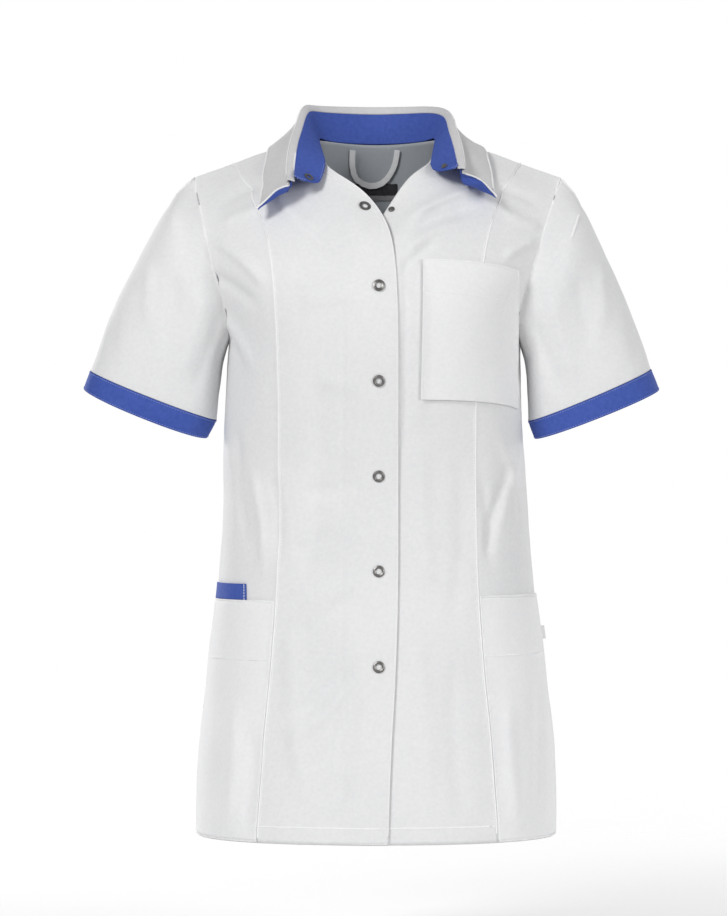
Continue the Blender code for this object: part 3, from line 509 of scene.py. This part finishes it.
def snap_metal():
    """Dark nickel with small scratches."""
    made, nodes, links, shader = shader_nodes("snap_nickel")
    place = nodes.new("ShaderNodeTexCoord")
    worn = nodes.new("ShaderNodeTexNoise")
    worn.inputs["Scale"].default_value = 900.0
    worn.inputs["Detail"].default_value = 5.0
    links.new(place.outputs["Object"], worn.inputs["Vector"])
    tone = nodes.new("ShaderNodeValToRGB")
    tone.color_ramp.elements[0].color = (0.07, 0.068, 0.066, 1)
    tone.color_ramp.elements[1].color = (0.34, 0.33, 0.32, 1)
    links.new(worn.outputs["Fac"], tone.inputs["Fac"])
    links.new(tone.outputs["Color"], shader.inputs["Base Color"])
    gloss = nodes.new("ShaderNodeMapRange")
    gloss.inputs["To Min"].default_value = 0.28
    gloss.inputs["To Max"].default_value = 0.48
    links.new(worn.outputs["Fac"], gloss.inputs["Value"])
    links.new(gloss.outputs["Result"], shader.inputs["Roughness"])
    shader.inputs["Metallic"].default_value = 0.85
    return made


WHITE_TWILL = cloth("white_twill", (0.76, 0.765, 0.775), (0.84, 0.84, 0.84), 0.08, 0.35, 1100.0)
# Painted shade: the collar leaf's white is greyer than the same cloth on the body.
COLLAR_PAINTED_SHADE_TWILL = cloth("collar_twill_painted_shade", (0.60, 0.595, 0.605), (0.67, 0.662, 0.67), 0.08, 0.35, 1100.0)
# Painted light: the pockets' white is brighter than the same cloth on the body.
POCKET_PAINTED_LIGHT_TWILL = cloth("pocket_twill_painted_light", (0.83, 0.835, 0.845), (0.90, 0.90, 0.905), 0.08, 0.35, 1100.0)
# Painted highlight: the seam ridges' white is brighter than the same cloth on the body.
EDGE_PAINTED_HIGHLIGHT_TWILL = cloth("edge_twill_painted_highlight", (0.87, 0.87, 0.88), (0.93, 0.93, 0.93), 0.08, 0.35, 1100.0)
BLUE_TWILL = cloth("blue_twill", (0.045, 0.087, 0.37), (0.070, 0.124, 0.455), 0.03, 0.4, 1100.0)
WHITE_THREAD = cloth("white_thread", (0.90, 0.90, 0.91), (0.97, 0.97, 0.97), 0.1, 0.2, 2600.0)
BLUE_THREAD = cloth("blue_thread", (0.16, 0.22, 0.56), (0.24, 0.30, 0.66), 0.1, 0.2, 2600.0)
LABEL_DARK = cloth("woven_label_dark", (0.028, 0.028, 0.031), (0.055, 0.055, 0.06), 0.05, 0.5, 1800.0)
LABEL_GREY = cloth("woven_label_grey", (0.22, 0.22, 0.23), (0.32, 0.32, 0.33), 0.05, 0.5, 1800.0)
NICKEL = snap_metal()


def paint_inside_shade(piece):
    """Mask for painted shade, 1 on the walls facing the wearer near the neck, where the tunic's own shade is
    painted into the cloth's colour.
    """
    mask = piece.data.attributes.new("inside", "FLOAT", "POINT")
    points = read_points(piece)
    normals = np.empty(len(points) * 3)
    piece.data.vertex_normals.foreach_get("vector", normals)
    normals = normals.reshape(-1, 3)
    facing = normals[:, 0] * points[:, 0] / HALF_WIDTH ** 2
    facing += normals[:, 1] * (points[:, 1] - MIDDLE_Y) / HALF_DEPTH ** 2
    depth = smooth((points[:, 2] / MM - INSIDE_LOW) / INSIDE_FADE)
    mask.data.foreach_set("value", np.where(facing < 0, depth, 0.0))


def finish(piece, material):
    piece.data.materials.clear()
    piece.data.materials.append(material)
    piece.data.polygons.foreach_set("material_index", [0] * len(piece.data.polygons))
    deselect()
    bpy.context.view_layer.objects.active = piece
    piece.select_set(True)
    bpy.ops.object.shade_smooth_by_angle(angle=SHADE_ANGLE)
    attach(piece, "root")


def make_piece(name, points, faces, material):
    """One closed piece from points and faces, its faces turned outward."""
    mesh = bpy.data.meshes.new(name)
    mesh.from_pydata(points, [], faces)
    piece = bpy.data.objects.new(name, mesh)
    bpy.context.scene.collection.objects.link(piece)
    deselect()
    bpy.context.view_layer.objects.active = piece
    piece.select_set(True)
    bpy.ops.object.mode_set(mode="EDIT")
    bpy.ops.mesh.select_all(action="SELECT")
    bpy.ops.mesh.normals_make_consistent(inside=False)
    bpy.ops.object.mode_set(mode="OBJECT")
    finish(piece, material)
    return piece


Piece = namedtuple("Piece", "node levels white flat area held rests_on")
BODY_PIECES = (
    Piece("back", 3, True, (0.62, 0.76), 0.36, "draped", ()),
    Piece("front_left", 3, True, (0.17, 0.76), 0.105, "draped", ("side_front_left",)),
    Piece("front_right", 3, True, (0.17, 0.76), 0.105, "draped", ("side_front_right",)),
    Piece("side_front_left", 3, True, (0.18, 0.74), 0.08, "draped", ("back",)),
    Piece("side_front_right", 3, True, (0.18, 0.74), 0.08, "draped", ("back",)),
    Piece("chest_pocket", 3, True, (0.115, 0.165), None, "laid", ("front_left",)),
    Piece("pocket_left", 3, True, (0.13, 0.27), None, "laid", ("side_front_left",)),
    Piece("pocket_right", 3, True, (0.13, 0.27), None, "laid", ("side_front_right",)),
    Piece("pocket_tab", 3, False, (0.055, 0.027), None, "laid", ("side_front_right",)),
)
SLEEVE_PIECES = (
    Piece("sleeve_left", 3, True, (0.42, 0.24), 0.06, "draped", ("side_front_left",)),
    Piece("sleeve_right", 3, True, (0.42, 0.24), 0.06, "draped", ("side_front_right",)),
    Piece("cuff_left", 3, False, (0.31, 0.027), None, "folded", ("sleeve_left",)),
    Piece("cuff_right", 3, False, (0.31, 0.027), None, "folded", ("sleeve_right",)),
)
COLLAR_PIECES = (
    Piece("collar_stand", 2, False, (0.42, 0.04), 0.012, "draped", ("back",)),
    Piece("collar_leaf", 2, True, (0.42, 0.08), None, "folded", ("collar_stand",)),
    Piece("under_collar", 2, False, (0.40, 0.07), None, "draped", ("collar_leaf",)),
)


def dress(row, move):
    piece = take(row.node, row.levels)
    write_points(piece, move(read_points(piece)))
    # Painted shade goes on the back's inner wall near the neck.
    if row.node == "back":
        paint_inside_shade(piece)
    white = WHITE_TWILL
    # The collar leaf's greyer white is painted shade.
    if row.node == "collar_leaf":
        white = COLLAR_PAINTED_SHADE_TWILL
    # The pockets' brighter white is painted light.
    elif "pocket" in row.node:
        white = POCKET_PAINTED_LIGHT_TWILL
    finish(piece, white if row.white else BLUE_TWILL)
    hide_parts(row.node)
    return piece


def dress_all():
    made = {}
    for row in BODY_PIECES:
        made[row.node] = dress(row, drape_body)
    for row in SLEEVE_PIECES:
        side, top, end = sleeve_axis(row.node)
        made[row.node] = dress(row, drape_sleeve(side, top, end))
    for row in COLLAR_PIECES:
        made[row.node] = dress(row, drape_body if row.node == "collar_stand" else drape_collar)
    return made


def rim_loops(piece, outward):
    """Loops along the outer wall's edges: points, their ways into the wall, and whether it is closed."""
    shape = bmesh.new()
    shape.from_mesh(piece.data)
    shape.normal_update()
    rim = {}
    for edge in shape.edges:
        if len(edge.link_faces) != 2 or edge.calc_face_angle() < RIM_ANGLE:
            continue
        facing = [(face.normal.dot(outward(face.calc_center_median())), face) for face in edge.link_faces]
        best, wall = max(facing, key=lambda pair: pair[0])
        if best <= OUTER_WALL:
            continue
        middle = (edge.verts[0].co + edge.verts[1].co) / 2
        along = (edge.verts[1].co - edge.verts[0].co).normalized()
        inward = wall.normal.cross(along)
        if inward.dot(wall.calc_center_median() - middle) < 0:
            inward.negate()
        for vert in edge.verts:
            rim.setdefault(vert.index, []).append((edge.other_vert(vert).index, inward.copy()))
    shape.verts.ensure_lookup_table()
    loops = []
    left = set(rim)
    while left:
        start = min(left)
        chain = [start]
        left.discard(start)
        for forward in (True, False):
            while True:
                end = chain[-1] if forward else chain[0]
                ahead = sorted(other for other, _ in rim[end] if other in left)
                if not ahead:
                    break
                left.discard(ahead[0])
                chain.insert(len(chain) if forward else 0, ahead[0])
        if len(chain) > 3:
            points = [shape.verts[k].co.copy() for k in chain]
            inwards = []
            for k in chain:
                total = sum((way for _, way in rim[k]), Vector())
                inwards.append(total / max(total.length_squared / max(len(rim[k]), 1), 0.35))
            closed = chain[0] in [other for other, _ in rim[chain[-1]]]
            loops.append((points, inwards, closed))
    shape.free()
    return loops


def stitch_shape(length, half_width):
    """One stitch lying along X: a low bar of thread with tapered ends."""
    half = length / 2
    rings = ((-half, 0.3), (-half * 0.6, 1.0), (half * 0.6, 1.0), (half, 0.3))
    corners = ((-1.0, -0.6), (-0.7, 0.55), (0.7, 0.55), (1.0, -0.6))
    points = []
    for x, share in rings:
        reach = half_width * share
        points += [(x, reach * across, reach * up) for across, up in corners]
    faces = []
    for ring in range(3):
        for k in range(4):
            a, b = 4 * ring + k, 4 * ring + (k + 1) % 4
            faces.append((a, b, b + 4, a + 4))
    faces.append((3, 2, 1, 0))
    faces.append((12, 13, 14, 15))
    return np.array(points) * MM, faces


def seam_points(loop, inset, keep, course):
    """Stitch places along one loop, drawn in from the edge, where keep says so."""
    points, inwards, closed = loop
    path = [point + way * inset * MM for point, way in zip(points, inwards)]
    if closed:
        path.append(path[0])
    places = []
    carry = 0.0
    for start, end in zip(path, path[1:]):
        length = (end - start).length
        if length < 1e-7:
            continue
        way = (end - start) / length
        while carry < length:
            place = start + way * carry
            if keep(place / MM) and (course == "any" or (abs(way.z) < 0.6) == (course == "across")):
                places.append((place, way))
            carry += STITCH_PITCH * MM
        carry -= length
    return places


def sew(name, surface, places, material):
    """One piece of joined stitches at the given places on the surface of a shell."""
    bar, bar_faces = stitch_shape(STITCH_LENGTH, STITCH_HALF_WIDTH)
    points, faces = [], []
    for place, way in places:
        spot, normal, _, _ = surface.find_nearest(place)
        if spot is None or (spot - place).length > STITCH_SEARCH * MM:
            continue
        side = normal.cross(way).normalized()
        along = side.cross(normal).normalized()
        base = len(points)
        for x, y, z in bar:
            points.append(spot + along * x + side * y + normal * (z + STITCH_RISE * MM))
        faces.extend(tuple(base + k for k in face) for face in bar_faces)
    if not points:
        return None
    return make_piece(name, points, faces, material)


def runs_along(loop, inset, keep, course):
    """Stretches of one loop, drawn in from the edge, where keep and the course hold."""
    points, inwards, closed = loop
    path = [point + way * inset * MM for point, way in zip(points, inwards)]
    if closed:
        path.append(path[0])
    stretches, current = [], []
    for start, end in zip(path, path[1:]):
        way = (end - start).normalized()
        fits = course == "any" or (abs(way.z) < 0.6) == (course == "across")
        if keep(start / MM) and fits:
            current = current or [start]
            current.append(end)
        elif current:
            stretches.append(current)
            current = []
    if current:
        stretches.append(current)
    return [stretch for stretch in stretches if len(stretch) > 3]


def ridge(name, surface, stretches, half_width, height, material):
    """A turned and pressed seam edge: a low rounded ridge of cloth along each stretch."""
    profile = ((-1.0, -0.8), (-0.7, 0.55), (0.0, 1.0), (0.7, 0.55), (1.0, -0.8))
    points, faces = [], []
    sides = len(profile)
    for stretch in stretches:
        normals = [surface.find_nearest(place)[1] for place in stretch]
        frames = []
        for k, place in enumerate(stretch):
            near = range(max(k - 3, 0), min(k + 4, len(stretch)))
            normal = sum((normals[j] for j in near), Vector()).normalized()
            ahead = stretch[near[-1]] - stretch[near[0]]
            side = normal.cross(ahead)
            if side.length < 1e-9:
                continue
            lifted = normal * (surface.find_nearest(place)[0] - place).dot(normal)
            frames.append((place + lifted, side.normalized(), normal))
        if len(frames) < 3:
            continue
        first = len(points)
        for spot, side, normal in frames:
            for across, up in profile:
                points.append(spot + side * (across * half_width * MM) + normal * (up * height * MM))
        for k in range(len(frames) - 1):
            for j in range(sides):
                a = first + k * sides + j
                b = first + k * sides + (j + 1) % sides
                faces.append((a, b, b + sides, a + sides))
        faces.append(tuple(first + j for j in reversed(range(sides))))
        faces.append(tuple(first + (len(frames) - 1) * sides + j for j in range(sides)))
    if not points:
        return None
    return make_piece(name, points, faces, material)


def shell_surface(piece, outward):
    """The outer wall alone, so that sewing never lands on a rim or the inner wall."""
    walls = []
    for face in piece.data.polygons:
        if face.normal.dot(outward(face.center)) > OUTER_WALL:
            walls.append(tuple(face.vertices))
    return BVHTree.FromPolygons([vert.co.copy() for vert in piece.data.vertices], walls)


def from_body(point):
    return Vector((point.x / HALF_WIDTH ** 2, (point.y - MIDDLE_Y) / HALF_DEPTH ** 2, 0)).normalized()


def from_neck(point):
    return Vector((point.x, point.y - 0.01, 0.02)).normalized()


def from_sleeve(node):
    side, top, end = sleeve_axis(node)
    top, end = Vector(top), Vector(end)
    axis = (end - top).normalized()

    def outward(point):
        offset = point - top
        return (offset - axis * offset.dot(axis)).normalized()

    return outward


def on_hem(point):
    return abs(point.z - HEM_LINE) < HEM_BAND


def on_back_hem(point):
    return abs(point.z - HEM_LINE) < HEM_BAND_BACK


def on_sewn_hem(point):
    return point.z < SEWN_BELOW and on_hem(point)


def on_sewn_back_hem(point):
    return point.z < SEWN_BELOW_BACK and on_back_hem(point)


def clear_of_roll_ends(point):
    """Whether a place, in millimetres, is away from the roll's front ends, which carry no sewing."""
    return all((point - Vector(end.point)).length > ROLL_END_CLEAR for end in COLLAR_ENDS)


def sew_all(made):
    """Topstitching. Each row: name, piece, distance in from the edge, course and where it runs."""
    rows = (
        ("front_edge", "front_right", 1.6, "any", lambda p: -26 < p.x < 40),
        ("front_edge_second", "front_right", 6.4, "any", lambda p: -60 < p.x < 40 and p.z > -90),
        ("front_edge_left", "front_left", 1.6, "any", lambda p: p.x > 10 and p.z > -78 and p.x < 70),
        ("princess_right", "front_right", 1.8, "down", lambda p: p.x < -84 and p.z > -704),
        ("princess_left", "front_left", 1.8, "down", lambda p: p.x > 84 and p.z > -704),
        ("hem_front_right", "front_right", 17.0, "across", on_sewn_hem),
        ("hem_front_left", "front_left", 17.0, "across", on_sewn_hem),
        ("hem_side_right", "side_front_right", 17.0, "across", on_sewn_hem),
        ("hem_side_left", "side_front_left", 17.0, "across", on_sewn_hem),
        ("hem_back", "back", 17.0, "across", on_sewn_back_hem),
        ("yoke_back", "back", 1.8, "any", lambda p: p.z > -170),
        ("chest_pocket_edge", "chest_pocket", 1.4, "any", lambda p: True),
        ("chest_pocket_hem", "chest_pocket", 36.0, "across", lambda p: p.z > -165),
        ("pocket_left_hem", "pocket_left", 62.0, "across", lambda p: -548 < p.z < -512),
        ("pocket_right_hem", "pocket_right", 62.0, "across", lambda p: -548 < p.z < -512),
        ("pocket_left_edge", "pocket_left", 1.4, "any", lambda p: True),
        ("pocket_right_edge", "pocket_right", 1.4, "any", lambda p: True),
        ("tab_line", "pocket_tab", 2.2, "down", lambda p: p.x > -146),
        ("armhole_left", "sleeve_left", 1.6, "any", lambda p: p.x < 205 and p.z > -190),
        ("armhole_right", "sleeve_right", 1.6, "any", lambda p: p.x > -205 and p.z > -190),
        ("cuff_left_edge", "cuff_left", 1.5, "any", lambda p: True),
        ("cuff_right_edge", "cuff_right", 1.5, "any", lambda p: True),
        ("collar_edge", "collar_leaf", 1.5, "any", clear_of_roll_ends),
        ("stand_edge", "collar_stand", 1.6, "any", lambda p: True),
    )
    for name, node, inset, course, keep in rows:
        loops = rim_loops(made[node], outward_of(node))
        places = []
        for loop in loops:
            places += seam_points(loop, inset, keep, course)
        blue = node.startswith("cuff") or node == "collar_stand"
        surface = shell_surface(made[node], outward_of(node))
        sew("stitches_" + name, surface, places, BLUE_THREAD if blue else WHITE_THREAD)


def outward_of(node):
    if node.startswith("collar"):
        return from_neck
    if node.startswith(("sleeve", "cuff")):
        return from_sleeve(node)
    return from_body


def press_seams(made):
    """Seam edges that stand up as fine light lines: low ridges of cloth whose brighter white is a painted
    highlight.

    Each row: name, piece, distance in, half width, height, course and where it runs.
    """
    rows = (
        ("princess_right", "front_right", -0.2, 1.3, 0.5, "any", lambda p: p.x < -84 and p.z > -716),
        ("princess_left", "front_left", -0.2, 1.3, 0.5, "any", lambda p: p.x > 84 and p.z > -716),
        ("armhole_right", "sleeve_right", -0.3, 1.6, 0.5, "any", lambda p: p.x > -215 and p.z > -170),
        ("armhole_left", "sleeve_left", -0.3, 1.6, 0.5, "any", lambda p: p.x < 215 and p.z > -170),
        ("front_edge", "front_right", 0.5, 0.6, 0.25, "any", lambda p: -64 < p.x < 40 and p.z > -715),
        ("hem_front_right", "front_right", 17.6, 0.8, 0.3, "across", on_hem),
        ("hem_front_left", "front_left", 17.6, 0.8, 0.3, "across", on_hem),
        ("hem_side_right", "side_front_right", 17.6, 0.8, 0.3, "across", on_hem),
        ("hem_side_left", "side_front_left", 17.6, 0.8, 0.3, "across", on_hem),
        ("hem_back", "back", 17.6, 0.8, 0.3, "across", on_back_hem),
        ("collar_edge", "collar_leaf", 0.5, 0.7, 0.3, "any", clear_of_roll_ends),
        ("chest_pocket", "chest_pocket", 0.5, 0.6, 0.25, "any", lambda p: True),
        ("pocket_left", "pocket_left", 0.5, 0.6, 0.25, "any", lambda p: True),
        ("pocket_right", "pocket_right", 0.5, 0.6, 0.25, "any", lambda p: True),
    )
    for name, node, inset, half_width, height, course, keep in rows:
        stretches = []
        for loop in rim_loops(made[node], outward_of(node)):
            stretches += runs_along(loop, inset, keep, course)
        surface = shell_surface(made[node], outward_of(node))
        # The ridges' brighter white is a painted highlight.
        ridge("edge_" + name, surface, stretches, half_width, height, EDGE_PAINTED_HIGHLIGHT_TWILL)


def give_material(node, material):
    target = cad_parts[node]
    for slot in target.material_slots:
        slot.material = material


def small_parts():
    for k in range(1, 6):
        give_material(f"snap_ring_{k}", NICKEL)
        give_material(f"snap_back_{k}", NICKEL)
    for node in ("neck_snap_ring", "neck_snap_stud", "stand_snap_ring", "stand_snap_stud"):
        give_material(node, NICKEL)
    give_material("neck_label", LABEL_DARK)
    give_material("size_label", LABEL_GREY)
    give_material("hanger_loop", WHITE_TWILL)
    give_material("side_label", WHITE_TWILL)


def floor_finish():
    """Pale floor that fades into the white of the studio away from the tunic."""
    made, nodes, links, shader = shader_nodes("studio_floor")
    shader.inputs["Base Color"].default_value = (0.95, 0.95, 0.95, 1)
    shader.inputs["Emission Color"].default_value = (1, 1, 1, 1)
    shader.inputs["Emission Strength"].default_value = FLOOR_GLOW
    shader.inputs["Roughness"].default_value = 0.9
    place = nodes.new("ShaderNodeTexCoord")
    away = nodes.new("ShaderNodeVectorMath")
    away.operation = "LENGTH"
    links.new(place.outputs["Object"], away.inputs[0])
    fade = nodes.new("ShaderNodeMapRange")
    fade.interpolation_type = "SMOOTHSTEP"
    fade.inputs["From Min"].default_value = FLOOR_SOLID
    fade.inputs["From Max"].default_value = FLOOR_END
    fade.inputs["To Min"].default_value = 1.0
    fade.inputs["To Max"].default_value = 0.0
    links.new(away.outputs["Value"], fade.inputs["Value"])
    links.new(fade.outputs["Result"], shader.inputs["Alpha"])
    return made


def studio_floor():
    deselect()
    place = (0, 0, FLOOR_Z)
    bpy.ops.mesh.primitive_circle_add(vertices=64, radius=FLOOR_END, fill_type="NGON", location=place)
    bpy.ops.object.transform_apply(location=True)
    floor = bpy.context.object
    floor.name = "studio_floor"
    floor.data.materials.append(floor_finish())


def studio_air():
    """White surround: bright where the camera sees it, dimmer as light on the cloth."""
    world = bpy.data.worlds.new("studio")
    bpy.context.scene.world = world
    world.use_nodes = True
    nodes, links = world.node_tree.nodes, world.node_tree.links
    lit = nodes["Background"]
    lit.inputs["Color"].default_value = (1, 1, 1, 1)
    lit.inputs["Strength"].default_value = AIR_LIGHT
    seen = nodes.new("ShaderNodeBackground")
    seen.inputs["Color"].default_value = (1, 1, 1, 1)
    ray = nodes.new("ShaderNodeLightPath")
    mix = nodes.new("ShaderNodeMixShader")
    links.new(ray.outputs["Is Camera Ray"], mix.inputs["Fac"])
    links.new(lit.outputs["Background"], mix.inputs[1])
    links.new(seen.outputs["Background"], mix.inputs[2])
    links.new(mix.outputs["Shader"], nodes["World Output"].inputs["Surface"])


def studio_lamps():
    for lamp in LAMPS:
        data = bpy.data.lights.new(lamp.name, "AREA")
        data.energy = lamp.power
        data.size = lamp.size
        made = bpy.data.objects.new(lamp.name, data)
        bpy.context.scene.collection.objects.link(made)
        made.location = (lamp.x, lamp.y, lamp.z)
        made.rotation_euler = (Vector(LAMP_TARGET) - made.location).to_track_quat("-Z", "Y").to_euler()


def studio_camera():
    camera = bpy.data.objects.new("camera", bpy.data.cameras.new("camera"))
    bpy.context.scene.collection.objects.link(camera)
    camera.location = (
        (PHOTO_CENTRE[0] - ORIGIN_PIXEL[0]) * MM_PER_PIXEL * MM,
        -CAMERA_DISTANCE,
        (ORIGIN_PIXEL[1] - PHOTO_CENTRE[1]) * MM_PER_PIXEL * MM,
    )
    camera.rotation_euler = (math.radians(90), 0, 0)
    camera.data.sensor_width = SENSOR
    camera.data.sensor_fit = "HORIZONTAL"
    camera.data.lens = SENSOR * CAMERA_DISTANCE / (PHOTO_WIDTH * MM_PER_PIXEL * MM)
    camera.data.clip_end = 50
    bpy.context.scene.camera = camera
    bpy.context.scene.view_settings.view_transform = "Standard"


garment = dress_all()
small_parts()
sew_all(garment)
press_seams(garment)
studio_floor()
studio_air()
studio_lamps()
studio_camera()
